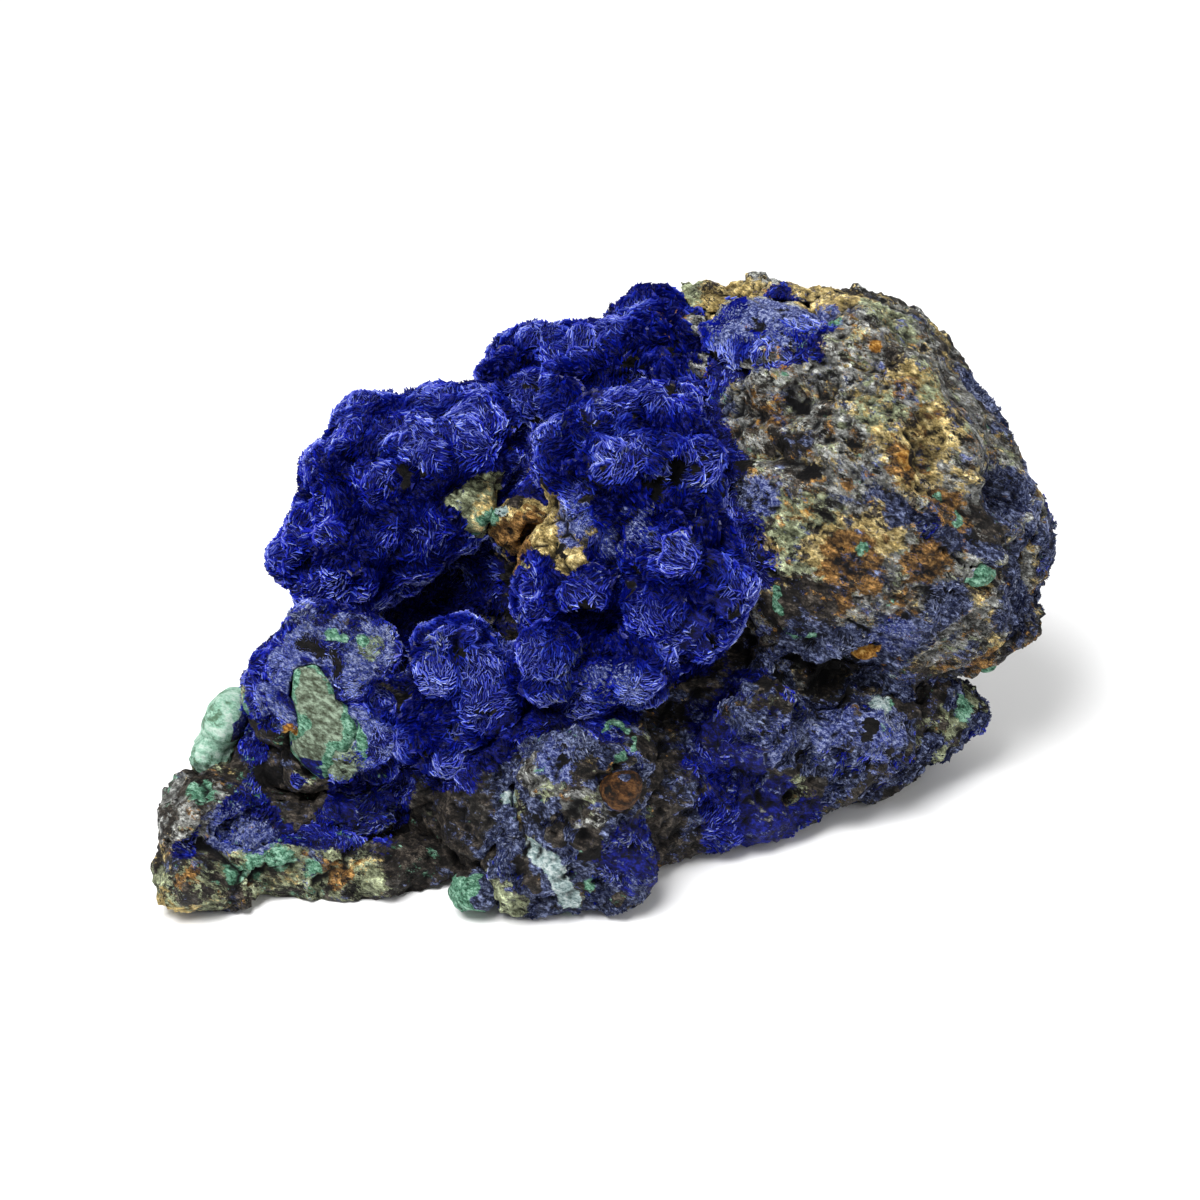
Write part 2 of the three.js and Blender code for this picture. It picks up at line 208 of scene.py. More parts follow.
# Patches of each mineral, on the CAD's surfaces: (x, y, z, radius).
PATCHES = {
    # charcoal stone of the boulder
    "slate": [
        (46, 10, 66, 30), (60, 5, 50, 24), (36, -6, 50, 20), (30, 20, 84, 22), (-80, -39, 20, 8),
        (33, 2, 82.5, 9), (-6, -49, 24, 5), (43, 5, 89, 9), (28, -25, 7, 8), (-14, -47, 31, 5),
        (24, 4, 81.5, 7),
    ],
    "olive": [
        (-74, -46, 9, 6), (-65, -42, 7, 8), (-56, -42.5, 7, 8), (-47.5, -43.4, 5.6, 5),
        (-84.9, -49, 5, 6), (48, -5, 82, 5), (58, 3, 84, 5), (62, 2, 78.5, 5), (32, -13.2, 62, 9),
        (52, 22, 91, 8), (16, 31, 93, 6), (47, 24, 93, 5), (-25, -5, 62, 10), (-14, -14, 56, 6),
        (-22, -50, 5, 6), (-20, -43, 22, 3), (60.5, -10, 15, 7), (34, -26, 11, 4.4), (72, -4, 22, 5),
        (30, 45, 50, 16), (-20, 44, 30, 14), (70, 30, 30, 13), (-57, -33.5, 24, 4), (-51, -34, 25, 4),
        (-68.5, -28.5, 36.5, 4),
    ],
    "tan": [
        (21, 27, 90, 8), (38, 24, 94, 8), (52, -8, 77, 5.5), (54.5, -9, 71.5, 4.5), (54, 4, 86, 4),
        (-18, -7, 60, 12), (-13, -11, 62, 11), (-9, -14, 59, 8), (59, 0, 78, 7), (55.5, -6, 75.5, 6),
        (37, -14, 60, 4.5), (47, -13, 62, 5), (28, -12, 60, 3), (-84, -49, 3, 4), (-20, -44, 19, 2),
        (40, 40, 70, 12), (-50, 40, 30, 8), (10, 40, 80, 9), (-45.5, -29, 44.2, 1.6),
    ],
    "rust": [
        (51, -9, 74, 4), (43, -14, 56, 7), (40, -15, 51, 5), (60, -11, 63, 6), (57, -13, 56, 5),
        (-79, -47.4, 10, 2.2), (-81.5, -48, 7, 1.8), (-15.5, -47, 27.5, 1.7), (0.5, -48, 31, 2.6),
        (-53, -43, 5, 2), (-69, -44, 6, 1.6), (58, -7, 24.6, 4), (70, -4.4, 32, 3), (-18, -9, 57, 7),
        (-22, -8, 56, 5), (50, 40, 40, 8), (-30, 45, 20, 8), (15, 44, 60, 6),
    ],
    "brown": [
        (-39, -35, 8, 8), (-34, -38, 3, 8), (-29, -40, 9, 9), (-33, -38, 16, 7), (7.5, -35.5, 22.5, 7),
        (9, -36, 12, 8), (34.7, -15.5, 47.4, 8), (15, -32, 14.5, 4.6), (23, -27, 12.3, 4.2),
        (29.5, -26.7, 13.4, 3.6), (16.5, -18, 34.5, 5.5), (29, -6, 76, 5), (13, -28, 22, 6),
        (12, -35, 6, 6), (-58, -36, 13.5, 4), (24, -15, 36, 5), (-67, -28, 27, 9),
        (-64.4, -32, 22.6, 8), (-60, -32.6, 17, 8), (-63, -33, 30, 4), (-51, -28, 52.5, 2.6),
        (-78, -36, 22, 4), (-6.5, -49.3, 19, 3), (68, -4, 58, 6), (-20, -3, 66, 5), (58, -8, 25, 6),
        (60, 40, 20, 14), (-60, 30, 20, 12), (0, 44, 20, 14),
    ],
    # dull blue film of azurite on the rock
    "film": [
        (22, -11.5, 67, 5.5), (20, -8, 64, 6), (36, -16, 42.5, 6), (41.5, -16.5, 38.5, 7),
        (54, -14, 40, 7), (48, -14, 37, 7), (62, -12.5, 48, 5), (72, 27, 70.5, 8), (77, -2, 42, 8),
        (74, 4, 62, 7), (62, -9, 57, 3.5), (56, -11, 62.5, 3), (49.5, -12, 67, 3), (12, -21, 14, 12),
        (20, -20, 22, 8), (-8, -47, 26, 6), (20, 46, 66, 9), (66, 34, 60, 12), (45, 45, 30, 7),
        (-12, 46, 12, 8),
    ],
    "azurite": [
        (22, 10, 90, 5), (-43, -35, 13, 5), (-79.5, -44, 12.8, 2.6), (-6, -34, 34, 8),
        (-20, 10, 52, 8), (-34, 0, 42, 12), (-38, -2, 30, 10), (-70, -34, 16, 5), (1.5, -46, 15, 6),
        (6, -43, 8, 5), (20, -22, 24, 8), (24, -20, 30, 6), (21, -28, 21, 8), (17, -28, 14, 6),
        (29, -26, 12, 5), (24, -29, 6, 9), (36, -26, 5, 6), (-45, 30, 40, 16), (-10, 40, 44, 10),
    ],
    # pale frosted azurite, broken or fine-grained
    "frost": [
        (-9, -16, 66, 5), (-3, -20, 63, 4), (-71, -39, 13.6, 5), (-66, -40, 12.3, 4),
        (-11, -45.6, 33, 4), (25, -12, 68.5, 4), (30, -26, 26, 5), (40, -21, 24.5, 6),
        (50, -19.5, 22.5, 6), (-2, -35, 41, 6), (52, -14, 40, 5), (29, 13, 94, 8), (21, 15, 92, 5),
        (34, 14, 94, 6), (4, -18, 66, 4), (-14, -16, 66, 3), (-36, -38, 40, 5),
    ],
    # the grey-green filling of the broken lobe
    "core": [(-45.5, -29.1, 47.2, 2.2), (-52.5, -35, 27.5, 5)],
    # only chips are made of these two
    "iron": [],
    "jade": [],
    # green spots
    "malachite": [
        (-68.2, -29.5, 35.6, 2), (-47, -28.9, 48.6, 1.1), (-52.7, -28.9, 49.8, 1.3),
        (-50.6, -29.3, 49, 1), (-76.8, -38.4, 21.2, 2.6), (-5, -48.7, 9.1, 1.5), (-63, -43, 9, 3.2),
        (-67, -42.5, 8.5, 2.2), (-57, -43.2, 7, 2.2), (-71, -44.5, 8, 1.8), (-13, -12, 60, 1.4),
        (44.5, -13.4, 59.5, 1.3), (51, -14, 49, 1.2), (62, -9.5, 62, 1.6), (58, -8, 66, 1.3),
        (51.4, -11, 25, 1.4), (-25, -5, 60, 2.2), (66.7, -5.2, 18.6, 2.4), (34, -23, 13.5, 1.2),
        (40, 13, 93.5, 2), (-10, -45, 3, 3), (55, 18, 90, 1.6),
    ],
    # pale blue-green powder
    "powder": [
        (-14.7, -47.5, 15.2, 1.8), (-13.2, -49.3, 13.8, 2), (-11.8, -50.3, 11.6, 2.4),
        (-10.1, -50.8, 8.6, 2.4), (-8.9, -50.2, 5.4, 2.4), (50, -12.5, 26, 2.6), (52, -12, 30, 1.6),
        (-21, -41.6, 22, 1.6), (-22, -5, 62, 1.4),
    ],
    # orange specks
    "limonite": [
        (52, -8.5, 75.5, 2), (-16, -8.5, 59.5, 2.2), (-60.9, -33.6, 32.4, 1.5),
        (-12.5, -11.5, 59, 1.6), (-80, -48, 6, 1.6), (48, 8, 91.5, 1.4), (24, 24, 92, 1.6),
        (46, -12, 70, 1.2),
    ],
    # near-black, painted as shade in the hollows, the grooves and the recess under the boulder
    "dark": [
        (-66, -30, 21, 3), (-62.5, -33, 27, 2.4), (22.3, -4.1, 74.2, 3), (28, -5, 76, 2.5),
        (73, 4, 64, 3), (74.4, -2.6, 51, 4), (40, -15, 30, 6), (34, -26.2, 11.1, 2.7),
        (34, -10, 74, 2), (-36, 0, 42, 3), (-2, -48.5, 28, 2),
    ],
}

# Thin lines of a mineral: (points along it, half width).
VEINS = {
    "malachite": [
        (((29, -14.6, 52), (29.2, -15.2, 48.5), (31, -15.8, 45.3), (34, -16.2, 43.2),
          (37.5, -16.4, 42.6)), 1.0),
        (((-2, -43, 32), (1, -43, 33), (3.6, -45, 31), (3.6, -47, 27)), 1.1),
        (((-4, -33, 31.5), (-1, -31, 33), (2.5, -33, 31), (2, -36, 29)), 0.9),
        (((-50, -33.6, 22), (-47, -34, 26), (-47.5, -34, 31), (-49.5, -33, 34)), 1.2),
        (((-28, -4, 58), (-26, -7, 56), (-24, -9, 53)), 0.9),
    ],
    "dark": [
        (((-58.5, -30, 48.6), (-56, -29.8, 48), (-54.6, -30.2, 46.5)), 1.2),
        (((-52.4, -30.2, 47), (-51.6, -30.6, 44.5), (-52, -31, 42.5)), 1.0),
    ],
    "powder": [(((-15.6, -47.5, 15.8), (-13.2, -49.3, 13.8), (-10.9, -50.6, 10), (-8.9, -50.2, 5)), 2.3)],
    "rust": [
        (((-81, -48, 6), (-78, -47, 11), (-76, -46, 12)), 1.3),
        (((-56, -43, 8), (-50, -43, 7)), 1.0),
    ],
    "film": [(((46, -11.5, 69.7), (56, -11, 62), (70.5, -7, 53)), 2.2)],
    "azurite": [(((-80, -46, 8), (-79, -42, 14), (-74, -36, 18)), 2.0)],
}

# Thin scatters of a mineral over a wide part of the rock: (x, y, z, radius, most it reaches).
SCATTERS = {
    "film": [
        (50, 0, 56, 48, -0.24), (-50, -36, 14, 26, -0.3), (0, -30, 22, 26, -0.2), (0, 30, 40, 70, -0.35),
    ],
    "frost": [
        (50, 0, 50, 44, -0.42), (0, -44, 16, 18, -0.3), (-52, -32, 30, 18, -0.35),
        (40, -20, 20, 24, -0.25),
    ],
    "rust": [(52, -4, 58, 32, -0.2), (-66, -42, 8, 18, -0.26), (10, -20, 24, 30, -0.3)],
    "tan": [(54, -2, 68, 34, -0.18), (-64, -42, 6, 18, -0.24), (20, 30, 60, 60, -0.36)],
    "olive": [(56, 0, 74, 26, -0.2), (-6, -46, 14, 14, -0.2), (0, 30, 40, 80, -0.32)],
    "brown": [
        (46, 0, 56, 44, -0.2), (-50, -36, 14, 34, -0.1), (0, -40, 16, 20, -0.05),
        (34, -18, 16, 26, -0.02), (0, 20, 40, 80, -0.16),
    ],
    "dark": [(50, 0, 60, 44, -0.24), (0, -20, 20, 60, -0.28), (-50, -36, 24, 34, -0.3)],
    "malachite": [(58, -4, 60, 30, -0.48), (-62, -42, 8, 20, -0.34), (-4, -44, 24, 16, -0.42)],
    "limonite": [(54, -4, 68, 26, -0.38), (-66, -44, 8, 18, -0.5), (22, 26, 90, 14, -0.34)],
}

# Hollows (positive depth) and swellings (negative): (x, y, z, radius, depth).
HOLLOWS = [
    (27, 4, 84, 6, -2.5), (33.6, -3, 81, 4, -2), (38, -5, 80, 3, -1.2),  # the bulge and its knobs
    (73, 3, 64, 8, 4), (74.4, -2, 51, 7, 4),  # hollows on the right of the boulder
    (33, -16.5, 34, 6, 5), (41, -15, 30, 7, 5), (49, -13, 29, 6, 4),  # the recess under the boulder
    (34.7, -15.5, 47.4, 7.5, -1.4), (31.5, -13, 63, 6, -1.2),  # the grey slab and the pale-green patch
    (52, -8, 77, 3.5, -1.5), (60, -12, 54, 6, 1.0), (44, -14, 56, 5, 1.2), (34, -26, 11, 3.6, 3.5),
    (-36, 0, 42, 9, 3), (-17, -7, 58, 4, 2.5), (-25, -5, 61, 4, -1.5), (58, -7, 24, 3, 2.5),
    (-64, -33, 20, 5, 2), (-45, -37, 17, 6, 2),
]

# Ridges (positive height) and grooves (negative) along lines: (from, to, half width, height).
RIDGES = [
    ((18, -1, 74), (26, -5, 75.5), 4.5, -4.0),
    ((26, -5, 75.5), (36, -9.5, 73.5), 4.0, -3.4),
    ((46, -11.5, 69.7), (70.5, -7, 53), 2.2, 1.6),
    ((54, 6, 87), (67, -2, 68), 3.0, 1.6),
    ((30, -15, 56), (56, -14, 51), 1.8, 0.8),
    ((29, -16, 53), (30, -16, 46), 1.2, 0.9),
    ((30, -16, 46), (37, -16.5, 42.5), 1.2, 0.9),
    ((11, -34, 16), (32, -27, 13), 2.4, 1.8),
    ((-80, -46, 12), (-60, -42, 9), 2.0, 1.0),
]

# The boulder's layers: the way they run, where they show, and how far they draw the shapes and the
# colours out.
STREAK_DIRECTION = direction(24.5, 4, -16)
STREAK_CENTRE, STREAK_REACH = (52, -4, 62), 46
STREAK_PULL, STREAK_COLOUR_PULL = 0.8, 0.5

# Small deep holes between the blades of the ridge and the dome: (x, y, z, radius).
PITS = [
    (-9, -11.3, 79.5, 3.2), (-5.6, -13.1, 78.2, 2.6), (-7, -15.3, 73.2, 2.8), (-3.7, -17.6, 74.1, 2.4),
    (10, 0.9, 85.4, 2.6), (11.5, -12.9, 75.4, 3.0), (7.4, -15.6, 72.7, 2.6), (7, -19.9, 69.2, 2.8),
    (-5.2, -5.2, 82.2, 2.4), (1, -24.6, 57.4, 3.2), (-2.8, -21.5, 60.5, 2.4), (6.1, -24, 65.6, 2.4),
    (-7.6, -24.7, 51.9, 3.0), (2.1, 12.2, 84.1, 2.8), (-16.8, 6.4, 76, 2.4), (-18.9, 6.5, 72.2, 3.2),
    (-55.3, 10.8, 71.9, 2.0), (-60.4, -7.1, 53.5, 2.4), (-39.2, -4.3, 71.1, 3.6),
]

# How far each spreads on the rock round the growths that are made of it.
SKIRT_REACH = {"azurite": 4.5, "film": 4.0}

# Where the rock stays bare although azurite is near: (x, y, z, radius).
BARE = [
    (20, 31, 91, 12), (45, 24, 94, 14), (52, 0, 76, 18), (50, -12, 60, 15), (-38, -38, 6, 12),
    (-32, -41, 12, 10), (9, -35, 14, 12), (-66, -46, 4, 13), (-80, -44, 12, 10), (74, 2, 40, 9),
    (62, -6, 26, 8), (40, -15, 30, 9), (-62, -33, 17, 7), (16, -22, 32, 6), (33, 0, 82, 9),
    (28, 0, 79, 8), (25, 3, 82, 8), (-18, -8, 59, 9), (-26, -5, 60, 8),
]

# The lobe that is broken open: a point on the break, the way it faces, how far behind that point it
# still counts as the break, how far it reaches, and where it ends on the right.
BROKEN_POINT = np.array((-53.7, -33.3, 36))
BROKEN_FACING = direction(0.1, -0.95, 0.3)
BROKEN_DEPTH = 1.2
BROKEN_REACH = 26
BROKEN_RIGHT = -41.5

# The gentle pull all through the specimen: (size of its waves, strength, first seed).
PULLS = [(24, 1.5, 81), (10, 1.2, 91)]
FOOT_HEIGHT, FOOT_PULL = 10, 0.4  # below this height the pull is weaker, down to this share
FACE_INNER, FACE_OUTER, FACE_CALM = 18, 28, 0.9  # round the break, and how much weaker the pull is there


def warped(points):
    """The same pull for everything, so that no lobe is a plain ball."""
    pull = np.zeros_like(points)
    for axis in range(3):
        pull[:, axis] = sum(strength * noise(points, size, seed + axis) for size, strength, seed in PULLS)
    risen = smooth(0, FOOT_HEIGHT, points[:, 2])
    pull[:, 2] *= risen
    face = smooth(FACE_OUTER, FACE_INNER, np.linalg.norm(points - BROKEN_POINT, axis=1))
    return points + pull * (np.maximum(risen, FOOT_PULL) * (1 - FACE_CALM * face))[:, None]


def settled(spots):
    """Spots with the pull that the skins get, so that they stay on them."""
    spots = np.array(spots, float)
    if len(spots):
        spots[:, :3] = warped(spots[:, :3])
    return spots


patches = {mineral: settled(spots) for mineral, spots in PATCHES.items()}
hollows, bare_spots, pits = settled(HOLLOWS), settled(BARE), settled(PITS)
veins = {mineral: [(settled(line), half) for line, half in lines] for mineral, lines in VEINS.items()}
ridges = [(settled(line), half, height) for *line, half, height in RIDGES]


def nearness(points, place, radius):
    """1 at the place, 0 a radius away, and below 0 outside."""
    return 1 - np.linalg.norm(points - place, axis=1) / radius


def distance_to_line(points, line):
    best = np.full(len(points), np.inf)
    for start, end in zip(line, line[1:]):
        way = end - start
        share = np.clip((points - start) @ way / (way @ way), 0, 1)
        best = np.minimum(best, np.linalg.norm(points - start - share[:, None] * way, axis=1))
    return best


def distance_to(points, tree):
    return np.array([tree.find_nearest(point)[3] for point in (points * MM).tolist()]) / MM


VEIN_HOLD = 1.5  # how firmly a vein stands against the ragged noise
BARE_HOLD, BARE_EDGE = 1.3, 0.4  # how firmly a bare spot holds a skirt off, and over what share of it
RAGGED_SIZE, RAGGED_SHARE, RAGGED_SEED = 6, 0.3, 40  # the noise that makes the patches ragged


def patch_value(points, mineral):
    """How far inside a mineral's patches the points are: above 0 inside, below 0 outside."""
    best = np.full(len(points), -1.0)
    for *place, radius in patches[mineral]:
        best = np.maximum(best, nearness(points, place, radius))
    for *place, radius, most in SCATTERS.get(mineral, ()):
        best = np.maximum(best, np.minimum(nearness(points, place, radius), most))
    for line, half in veins.get(mineral, ()):
        best = np.maximum(best, VEIN_HOLD * (1 - distance_to_line(points, line) / half))
    if mineral in SKIRT_REACH:
        skirt = 1 - distance_to(points, skirt_trees[mineral]) / SKIRT_REACH[mineral]
        for *place, radius in bare_spots:
            skirt -= BARE_HOLD * smooth(0, BARE_EDGE, nearness(points, place, radius))
        best = np.maximum(best, skirt)
    seed = RAGGED_SEED + sorted(PATCHES).index(mineral)
    return np.clip(best + RAGGED_SHARE * rough_noise(points, RAGGED_SIZE, seed), -1, 1)


def on_broken_face(points):
    reach = (np.linalg.norm(points - BROKEN_POINT, axis=1) < BROKEN_REACH) & (points[:, 0] < BROKEN_RIGHT)
    return reach & ((points - BROKEN_POINT) @ BROKEN_FACING > -BROKEN_DEPTH)


HOLLOW_EDGE = 0.85  # how far in from its edge a hollow is at its deepest, as a share of its radius


def sculpted(points):
    """The height that the hollows and the ridges give."""
    depth = np.zeros(len(points))
    for *place, radius, deep in hollows:
        depth += deep * smooth(0, HOLLOW_EDGE, nearness(points, place, radius))
    for line, half, height in ridges:
        depth -= height * smooth(half, 0, distance_to_line(points, line))
    return -depth


# The small pits: one scattered cell in so many holds one. PITS adds the large ones.
PIT_SPACING, PIT_ONE_IN, PIT_OUTER, PIT_INNER = 6.5, 9, 0.4, 0.2
PIT_SEED = 25
LARGE_PIT_REACH, LARGE_PIT_EDGE = 1.3, 0.45


def pit_share(points):
    """1 in the middle of the dark pits in the azurite, 0 outside them."""
    points = bent(points, 3.2, 1.5, 44)
    nearest, _, number, _ = cells(points, PIT_SPACING, PIT_SEED)
    ragged = 0.3 * noise(points, 1.6, 27) + 0.15 * noise(points, 4, 28)
    share = (number % PIT_ONE_IN == 0) * smooth(PIT_OUTER, PIT_INNER, nearest + ragged / 2)
    for *place, radius in pits:
        inside = nearness(points, place, LARGE_PIT_REACH * radius) + ragged
        share = np.maximum(share, smooth(0, LARGE_PIT_EDGE, inside))
    return share


# ---------------- skins

FLOOR_GAP = 0.4  # what lies below this height stands on the floor and stays flat
FOOT_CALM, FOOT_FULL = 0.2, 3  # between these heights the surface grows rough


def mesh_arrays(mesh):
    """A mesh's points, in millimetres, and its normals."""
    points, normals = np.empty((2, len(mesh.vertices) * 3))
    mesh.vertices.foreach_get("co", points)
    mesh.vertex_normals.foreach_get("vector", normals)
    return points.reshape(-1, 3) / MM, normals.reshape(-1, 3)


def write_points(mesh, points):
    mesh.vertices.foreach_set("co", (points * MM).ravel())
    mesh.update()


def welded_copy(node, name):
    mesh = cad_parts[node].data.copy()
    mesh.name = name
    mesh.materials.clear()
    work = bmesh.new()
    work.from_mesh(mesh)
    bmesh.ops.remove_doubles(work, verts=work.verts, dist=0.01 * MM)
    work.to_mesh(mesh)
    work.free()
    return mesh


def even_skin(node, name, voxel):
    """The CAD node's shape as a new object of even small quads."""
    draft = linked(name + "_draft", welded_copy(node, name + "_draft"))
    remesh = draft.modifiers.new("even", "REMESH")
    remesh.mode = "VOXEL"
    remesh.voxel_size = voxel * MM
    mesh = bpy.data.meshes.new_from_object(draft.evaluated_get(bpy.context.evaluated_depsgraph_get()))
    bpy.data.objects.remove(draft)
    mesh.name = name
    return linked(name, mesh)


def neighbour_mean(mesh, points, rounds):
    """The points after some rounds in which each moves halfway to the middle of its neighbours."""
    edges = np.empty(len(mesh.edges) * 2, int)
    mesh.edges.foreach_get("vertices", edges)
    starts, ends = edges.reshape(-1, 2).T
    ends, others = np.concatenate([starts, ends]), np.concatenate([ends, starts])
    count = np.bincount(ends, minlength=len(points))[:, None]
    for _ in range(rounds):
        sums = [np.bincount(ends, points[others, axis], minlength=len(points)) for axis in range(3)]
        points = (points + np.stack(sums, axis=1) / count) / 2
    return points


def relax(mesh, rounds):
    write_points(mesh, neighbour_mean(mesh, mesh_arrays(mesh)[0], rounds))


def push_out(mesh, heights):
    """Moves the points along their normals, and leaves the flat foot flat."""
    write_points(mesh, warped(mesh_arrays(mesh)[0]))
    points, normals = mesh_arrays(mesh)
    step = normals * heights(points)[:, None]
    step[:, 2] *= smooth(FOOT_CALM, FOOT_FULL, points[:, 2])
    moved = points + step
    low = points[:, 2] < FLOOR_GAP
    moved[low, 2] = points[low, 2]
    moved[:, 2] = np.maximum(moved[:, 2], 0)
    write_points(mesh, moved)


MASKS = list(PATCHES) + ["pit", "broken"]
STONES = ("slate", "olive", "tan", "rust", "brown")
CHIP_MINERALS = ("jade", "malachite", "limonite", "iron", "core")
# How far inside a stone's patch each growth or chip gives way to it.
STONE_HOLD = {
    "azurite": 0.3, "film": 0.0, "jade": 0.3, "malachite": 0.25, "core": 0.25, "limonite": 0.4, "iron": 0.4,
}
RIM = 1.4  # how far the mineral round a chip comes in over it
DIP_SCALES = [(4, 1.6), (24, 0.7)]  # rounds of smoothing that a dip is measured against, and its weight


def mask_values(mesh, name):
    values = np.empty(len(mesh.vertices), np.float32)
    mesh.attributes[name].data.foreach_get("value", values)
    return values


def add_growth_masks(masks, points, base):
    """A growth or chip is of its base mineral, but for deep stone patches, dark pits and the break."""
    masks["broken"] = on_broken_face(points).astype(float)
    if base not in CHIP_MINERALS:
        masks["pit"] = pit_share(points)
    for stone in STONES + ("dark",) if base in CHIP_MINERALS else STONES:
        masks[stone] -= STONE_HOLD[base]
    stone = np.max([masks[stone] for stone in STONES], axis=0)
    masks[base] = np.minimum(1 - 2 * smooth(-0.06, 0.1, stone), 1.2 - 3 * masks["pit"])
    # painted shade: the pits are painted dark brown and near-black
    masks["brown"] = np.maximum(masks["brown"], 2.4 * masks["pit"] - 0.9)
    masks["dark"] = np.maximum(masks["dark"], 1.5 * masks["pit"] - 0.75)
    frost_on_break = 0.1 + 0.6 * noise(points, 3.2, 67)
    masks["frost"] = np.where(masks["broken"] > 0.5, frost_on_break, masks["frost"])


def add_masks(mesh, base, rim):
    """Writes where each mineral is, and the dips and crests, as attributes that the material reads."""
    points, normals = mesh_arrays(mesh)
    masks = {mineral: patch_value(points, mineral) for mineral in PATCHES}
    masks["pit"], masks["broken"] = np.zeros((2, len(points)))
    if rim:
        ragged = 0.9 * noise(points, 4.5, 68) - 0.3
        masks[rim] = np.maximum(masks[rim], 1 - distance_to(points, solid_tree) / RIM + ragged)
    if base in STONE_HOLD:
        add_growth_masks(masks, points, base)
    dips = [weight * np.sum((neighbour_mean(mesh, points, rounds) - points) * normals, axis=1)
            for rounds, weight in DIP_SCALES]
    masks["dip"] = np.clip(sum(dips), -1, 1)
    for name, value in masks.items():
        attribute = mesh.attributes.new(name, "FLOAT", "POINT")
        attribute.data.foreach_set("value", value.astype(np.float32))


def finish_piece(piece, material, slot, *nodes):
    """Gives a piece its material and its body, and hides the CAD nodes it stands for. Its slot is not used.
    """
    piece.data.materials.append(material)
    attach(piece, "root")
    if nodes:
        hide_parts(*nodes)


# ---------------- shapes of the surfaces

def ridged(points, size, seed):
    """Sharp crests with round valleys between them, from -2 to 1."""
    return 1 - 3 * np.abs(noise(points, size, seed))


def facets(points, size, seed):
    """Flat faces, each tilted its own way, with steps between them, as broken stone has."""
    _, _, number, way = cells(points, size, seed)
    return size * np.sum(way * lattice(SEED + seed)[1][number], axis=1)


def waves(points, table):
    """The sum of a table's waves: (kind, size, seed, height)."""
    return sum(height * kind(points, size, seed) for kind, size, seed, height in table)


def dents(points, table):
    """Dents where a noise is high: (size, seed, where they start, where they are deepest, depth)."""
    return sum(depth * smooth(start, deepest, noise(points, size, seed))
               for size, seed, start, deepest, depth in table)


def groove_round_chips(points, outer, inner, depth):
    return depth * smooth(outer, inner, distance_to(points, chip_tree))


def streaked(points):
    """The points pulled together along the boulder's layers, so that its noises run along them."""
    reach = smooth(0, 0.35, nearness(points, STREAK_CENTRE, STREAK_REACH))
    along = reach * STREAK_PULL * ((points - STREAK_CENTRE) @ STREAK_DIRECTION)
    return points - along[:, None] * STREAK_DIRECTION


ROCK_LAYERS = [(facets, 14, 6, 0.08), (facets, 6.5, 1, 0.14), (ridged, 4.6, 4, 0.35), (ridged, 2.2, 5, 0.4)]
ROCK_GRAIN = [(facets, 3.2, 2, 0.09), (noise, 1.5, 10, 0.25)]
ROCK_DENTS = [(3, 8, 0.4, 0.85, 0.3), (7, 9, 0.45, 0.85, 0.6)]
ROCK_SWELL = [(noise, 14, 3, 1.1)]
# the tail's flat broken faces, and how much of the rock's own shape they take away
SLABBY_PLACE, SLABBY_REACH, SLABBY_CALM = (-68, -46, 6), 27, 0.6
SLABBY_FACES = [(facets, 9, 19, 0.2)]


def rock_heights(points):
    height = waves(streaked(points), ROCK_LAYERS) + waves(points, ROCK_GRAIN) - dents(points, ROCK_DENTS)
    slabby = smooth(0, 0.3, nearness(points, SLABBY_PLACE, SLABBY_REACH))
    height = (1 - SLABBY_CALM * slabby) * height + slabby * waves(points, SLABBY_FACES)
    height += waves(points, ROCK_SWELL) - groove_round_chips(points, 1.3, 0.4, 0.5)
    return height + sculpted(points)


CRUST_WAVES = [
    (noise, 11, 13, 1.5), (ridged, 5, 14, 0.6), (ridged, 2.4, 15, 0.35), (facets, 5, 16, 0.14),
    (noise, 1.5, 17, 0.25),
]
CRUST_DENTS = [(5, 18, 0.42, 0.8, 0.9)]


def crust_heights(points):
    height = waves(points, CRUST_WAVES) - dents(points, CRUST_DENTS)
    return height - groove_round_chips(points, 1.8, 0.6, 0.8) + sculpted(points)


LOBE, LOBE_SEED = 9.5, 21  # the round lobes of an azurite growth
SHEAF, SHEAF_SEED = 4.2, 22  # the sheaves of blades on a lobe
LOBE_RISE, CREASE, SHEAF_RISE = 3.0, 1.0, 1.3
DOME_PLACE, DOME_REACH, DOME_CALM = (-43, 2, 60), 36, 0.5  # where the lobes run together
AZURITE_GRAIN = [(noise, 3, 23, 0.5), (noise, 1.5, 24, 0.3)]
BREAK_GRAIN = [(noise, 4, 29, 0.5), (noise, 1.7, 26, 0.4)]
PIT_DEPTH = 3.2


def azurite_heights(points):
    """Round lobes with creases between them, small sheaves all over them, and dark pits."""
    nearest, second, _, _ = cells(bent(points, 8, 2.4, 41), LOBE, LOBE_SEED)
    to_sheaf, _, _, _ = cells(points, SHEAF, SHEAF_SEED)
    calm = 1 - DOME_CALM * smooth(0, 0.3, nearness(points, DOME_PLACE, DOME_REACH))
    height = calm * (LOBE_RISE * (0.42 - nearest ** 2) - CREASE * smooth(0.14, 0, second - nearest))
    height += SHEAF_RISE * (0.4 - to_sheaf ** 2) + waves(points, AZURITE_GRAIN)
    height -= PIT_DEPTH * pit_share(points)
    return np.where(on_broken_face(points), waves(points, BREAK_GRAIN), height) + 0.5 * sculpted(points)


def warts(points, size, seed):
    return 0.45 - cells(points, size, seed)[0] ** 2


def stone(stand, *table):
    """A chip's surface, which stands this far out of the CAD's and has waves on it."""
    return lambda points: stand + waves(points, table)


